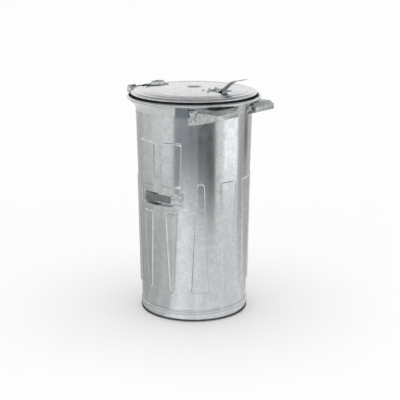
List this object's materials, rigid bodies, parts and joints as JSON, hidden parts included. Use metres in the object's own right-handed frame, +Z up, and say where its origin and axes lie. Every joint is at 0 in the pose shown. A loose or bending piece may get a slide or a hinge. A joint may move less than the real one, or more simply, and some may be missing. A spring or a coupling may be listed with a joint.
{
  "type": "trash can",
  "caption": "Tall round galvanised steel dustbin with pressed panels, side grips, lifting ears under the rim and a domed lid hinged at the back.",
  "frame": {"origin": "on the can's upright axis, at the level of the ground that its foot ring stands on", "axes": "+Z up along the can's axis, -Y to the front with the lifting ears and the lid lever, +Y to the hinge, +X to the can's right as seen from the front"},
  "size_m": [0.5066, 0.5066, 0.9135],
  "materials": {
    "body_sheet": "hot-dip galvanised sheet, silver grey, softly mottled",
    "lid_sheet": "hot-dip galvanised sheet, bright silver",
    "dipped_plate": "hot-dip galvanised plate, dull greenish grey",
    "fastener": "zinc coated steel",
    "wire": "drawn steel wire"
  },
  "bodies": {
    "can": {"body_shell": "body_sheet", "bottom_plate": "body_sheet", "ear_rivet_left_1": "fastener", "ear_rivet_left_2": "fastener", "ear_rivet_left_3": "fastener", "ear_rivet_left_4": "fastener", "ear_rivet_right_1": "fastener", "ear_rivet_right_2": "fastener", "ear_rivet_right_3": "fastener", "ear_rivet_right_4": "fastener", "foot_ring": "body_sheet", "grip_cup_left": "body_sheet", "grip_cup_right": "body_sheet", "grip_rivet_left_1": "fastener", "grip_rivet_left_2": "fastener", "grip_rivet_left_3": "fastener", "grip_rivet_left_4": "fastener", "grip_rivet_left_5": "fastener", "grip_rivet_left_6": "fastener", "grip_rivet_left_7": "fastener", "grip_rivet_left_8": "fastener", "grip_rivet_right_1": "fastener", "grip_rivet_right_2": "fastener", "grip_rivet_right_3": "fastener", "grip_rivet_right_4": "fastener", "grip_rivet_right_5": "fastener", "grip_rivet_right_6": "fastener", "grip_rivet_right_7": "fastener", "grip_rivet_right_8": "fastener", "grip_strap_left": "dipped_plate", "grip_strap_right": "dipped_plate", "hinge_bracket": "dipped_plate", "hinge_bracket_rivet_1": "fastener", "hinge_bracket_rivet_2": "fastener", "hinge_bracket_rivet_3": "fastener", "hinge_bracket_rivet_4": "fastener", "hinge_pin": "fastener", "lifting_ear_left": "dipped_plate", "lifting_ear_right": "dipped_plate", "pin_washer_left": "fastener", "pin_washer_right": "fastener", "rim_wire": "wire", "split_pin": "fastener"},
    "lid": {"hinge_strap": "dipped_plate", "hinge_strap_rivet_1": "fastener", "hinge_strap_rivet_2": "fastener", "hinge_strap_rivet_3": "fastener", "hinge_strap_rivet_4": "fastener", "lever_pan": "lid_sheet", "lever_pan_rivet_1": "fastener", "lever_pan_rivet_2": "fastener", "lever_pan_rivet_3": "fastener", "lever_pan_rivet_4": "fastener", "lever_pan_rivet_5": "fastener", "lid_collar": "body_sheet", "lid_edge_wire": "wire", "lid_lever": "dipped_plate", "lid_lever_rivet_1": "fastener", "lid_lever_rivet_2": "fastener", "lid_shell": "lid_sheet"}
  },
  "joints": [
    {"name": "lid_hinge", "type": "hinge", "parent": "can", "child": "lid", "pos_m": [0, 0.237, 0.843], "axis": [-1, 0, 0], "range_deg": [0, 97]}
  ]
}
